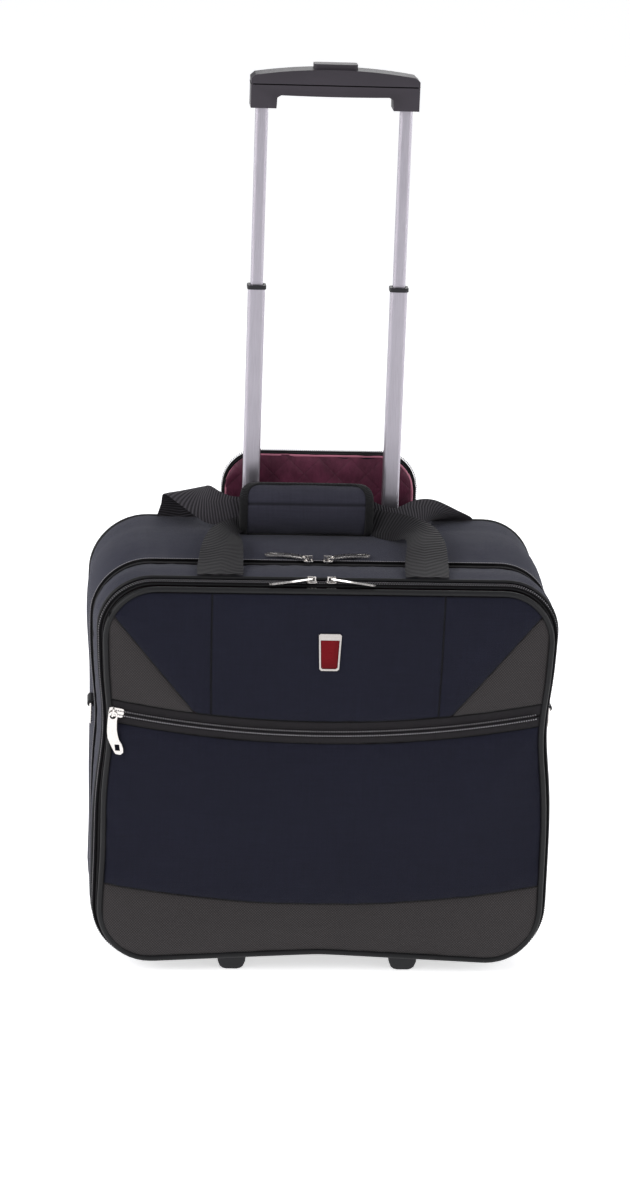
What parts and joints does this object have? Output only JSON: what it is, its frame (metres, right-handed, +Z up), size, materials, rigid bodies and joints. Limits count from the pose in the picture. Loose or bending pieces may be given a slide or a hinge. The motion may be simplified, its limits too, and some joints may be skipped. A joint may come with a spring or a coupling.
{
  "type": "rolling laptop case",
  "caption": "Soft wheeled laptop case with zipped front and main compartments, a carry handle in two webbing loops, and a telescopic handle that stows in a top well.",
  "frame": {"origin": "centre of the bounding box at floor level", "axes": "+X across the case to the right as seen from the front, +Y to the back, +Z up; the front panel faces -Y"},
  "size_m": [0.4404, 0.2197, 0.831],
  "materials": {
    "navy_fabric": "tightly woven navy polyester",
    "accent_fabric": "dark grey dobby weave",
    "lining": "burgundy lining",
    "webbing": "ribbed black webbing",
    "zip_tape": "black zip tape with nylon coil",
    "piping": "black vinyl piping",
    "black_plastic": "moulded black plastic",
    "grip_plastic": "dark grey moulded grip",
    "tube_alloy": "satin anodised",
    "nickel": "polished nickel plate",
    "steel": "plain steel",
    "badge_red": "red enamel",
    "wheel_rubber": "polyurethane tyre"
  },
  "bodies": {
    "case": {"main_shell": "navy_fabric", "main_lining": "lining", "divider": "lining", "base_plate": "black_plastic", "well_lining": "lining", "handle_mounts": "black_plastic", "outer_tubes": "tube_alloy", "wheel_housings": "black_plastic", "axles": "steel", "front_feet": "black_plastic", "rear_handle_web": "webbing", "main_zip_rear": "zip_tape", "laptop_sleeve": "lining", "sleeve_strap": "webbing", "ring_tabs": "webbing", "back_piping": "piping", "housing_screws": "steel"},
    "front_section": {"gusset_shell": "navy_fabric", "organizer": "lining", "main_zip_front": "zip_tape", "front_zip_rear": "zip_tape", "gusset_piping": "piping"},
    "front_panel": {"upper_panel": "navy_fabric", "pocket_panel": "navy_fabric", "corner_accents": "accent_fabric", "bottom_accent": "accent_fabric", "panel_back": "black_plastic", "panel_piping": "piping", "front_zip_front": "zip_tape", "pocket_zip": "zip_tape", "badge_frame": "nickel", "badge_inlay": "badge_red"},
    "carry_handle": {"front_handle_web": "webbing", "handle_wrap": "navy_fabric"},
    "flap": {"handle_flap": "navy_fabric", "flap_lining": "lining", "flap_zip": "zip_tape"},
    "middle_stage": {"middle_tubes": "tube_alloy", "middle_collars": "black_plastic"},
    "grip_stage": {"upper_tubes": "tube_alloy", "grip_lower": "grip_plastic", "grip_upper": "grip_plastic", "button_spring": "steel"},
    "release_button": {"grip_button": "grip_plastic"},
    "wheel_left": {"tyre_left": "wheel_rubber", "hub_left": "grip_plastic"},
    "wheel_right": {"tyre_right": "wheel_rubber", "hub_right": "grip_plastic"},
    "pocket_slider": {"pocket_slider": "nickel"},
    "pocket_pull": {"pocket_pull": "nickel"},
    "front_slider_left": {"front_slider_left": "nickel"},
    "front_pull_left": {"front_pull_left": "nickel"},
    "front_slider_right": {"front_slider_right": "nickel"},
    "front_pull_right": {"front_pull_right": "nickel"},
    "main_slider_left": {"main_slider_left": "nickel"},
    "main_pull_left": {"main_pull_left": "nickel"},
    "main_slider_right": {"main_slider_right": "nickel"},
    "main_pull_right": {"main_pull_right": "nickel"},
    "ring_left": {"ring_left": "nickel"},
    "ring_right": {"ring_right": "nickel"}
  },
  "joints": [
    {"name": "main_opening", "type": "hinge", "parent": "case", "child": "front_section", "pos_m": [0, -0.098, 0.015], "axis": [1, 0, 0], "range_deg": [0, 24]},
    {"name": "front_opening", "type": "hinge", "parent": "front_section", "child": "front_panel", "pos_m": [0, -0.098, 0.015], "axis": [1, 0, 0], "range_deg": [0, 60]},
    {"name": "carry_handle_lift", "type": "hinge", "parent": "front_section", "child": "carry_handle", "pos_m": [0, -0.084, 0.386], "axis": [1, 0, 0], "range_deg": [0, 85]},
    {"name": "middle_stage_slide", "type": "slide", "parent": "case", "child": "middle_stage", "axis": [0, 0, 1], "range_m": [-0.2665, 0]},
    {"name": "grip_stage_slide", "type": "slide", "parent": "middle_stage", "child": "grip_stage", "axis": [0, 0, 1], "range_m": [-0.1665, 0]},
    {"name": "button_press", "type": "slide", "parent": "grip_stage", "child": "release_button", "axis": [0, 0, -1], "range_m": [0, 0.004], "stiffness_N_per_m": 400, "springref_m": -0.002, "deforming": ["button_spring"]},
    {"name": "flap_fold", "type": "hinge", "parent": "case", "child": "flap", "pos_m": [0, 0.1048, 0.3902], "axis": [-1, 0, 0], "range_deg": [-4, 100]},
    {"name": "wheel_left_spin", "type": "hinge", "parent": "case", "child": "wheel_left", "pos_m": [-0.165, 0.085, 0.025], "axis": [1, 0, 0], "continuous": true},
    {"name": "wheel_right_spin", "type": "hinge", "parent": "case", "child": "wheel_right", "pos_m": [0.165, 0.085, 0.025], "axis": [1, 0, 0], "continuous": true},
    {"name": "pocket_zip_run", "type": "hinge", "parent": "front_panel", "child": "pocket_slider", "pos_m": [0, -0.1025, 1.257], "axis": [0, -1, 0], "range_deg": [0, 21.4]},
    {"name": "pocket_pull_lift", "type": "hinge", "parent": "pocket_slider", "child": "pocket_pull", "pos_m": [-0.19675, -0.1069, 0.26022], "axis": [-1, 0, 0], "range_deg": [0, 120]},
    {"name": "front_left_run", "type": "slide", "parent": "front_section", "child": "front_slider_left", "axis": [-1, 0, 0], "range_m": [0, 0.137]},
    {"name": "front_left_pull_lift", "type": "hinge", "parent": "front_slider_left", "child": "front_pull_left", "pos_m": [-0.0175, -0.0895, 0.385], "axis": [-0.4318, 0.8474, -0.309], "range_deg": [0, 95]},
    {"name": "front_right_run", "type": "slide", "parent": "front_section", "child": "front_slider_right", "axis": [1, 0, 0], "range_m": [0, 0.14]},
    {"name": "front_right_pull_lift", "type": "hinge", "parent": "front_slider_right", "child": "front_pull_right", "pos_m": [0.0005, -0.0895, 0.385], "axis": [-0.4318, -0.8474, 0.309], "range_deg": [0, 95]},
    {"name": "main_left_run", "type": "slide", "parent": "case", "child": "main_slider_left", "axis": [-1, 0, 0], "range_m": [0, 0.128]},
    {"name": "main_left_pull_lift", "type": "hinge", "parent": "main_slider_left", "child": "main_pull_left", "pos_m": [-0.0175, -0.036, 0.389], "axis": [0.4226, 0.9063, 0], "range_deg": [0, 95]},
    {"name": "main_right_run", "type": "slide", "parent": "case", "child": "main_slider_right", "axis": [1, 0, 0], "range_m": [0, 0.13]},
    {"name": "main_right_pull_lift", "type": "hinge", "parent": "main_slider_right", "child": "main_pull_right", "pos_m": [0.0005, -0.036, 0.389], "axis": [0.4226, -0.9063, 0], "range_deg": [0, 95]},
    {"name": "ring_left_swing", "type": "hinge", "parent": "case", "child": "ring_left", "pos_m": [-0.2166, -0.012, 0.24], "axis": [0, 1, 0], "range_deg": [0, 150]},
    {"name": "ring_right_swing", "type": "hinge", "parent": "case", "child": "ring_right", "pos_m": [0.2166, -0.012, 0.24], "axis": [0, -1, 0], "range_deg": [0, 150]}
  ]
}
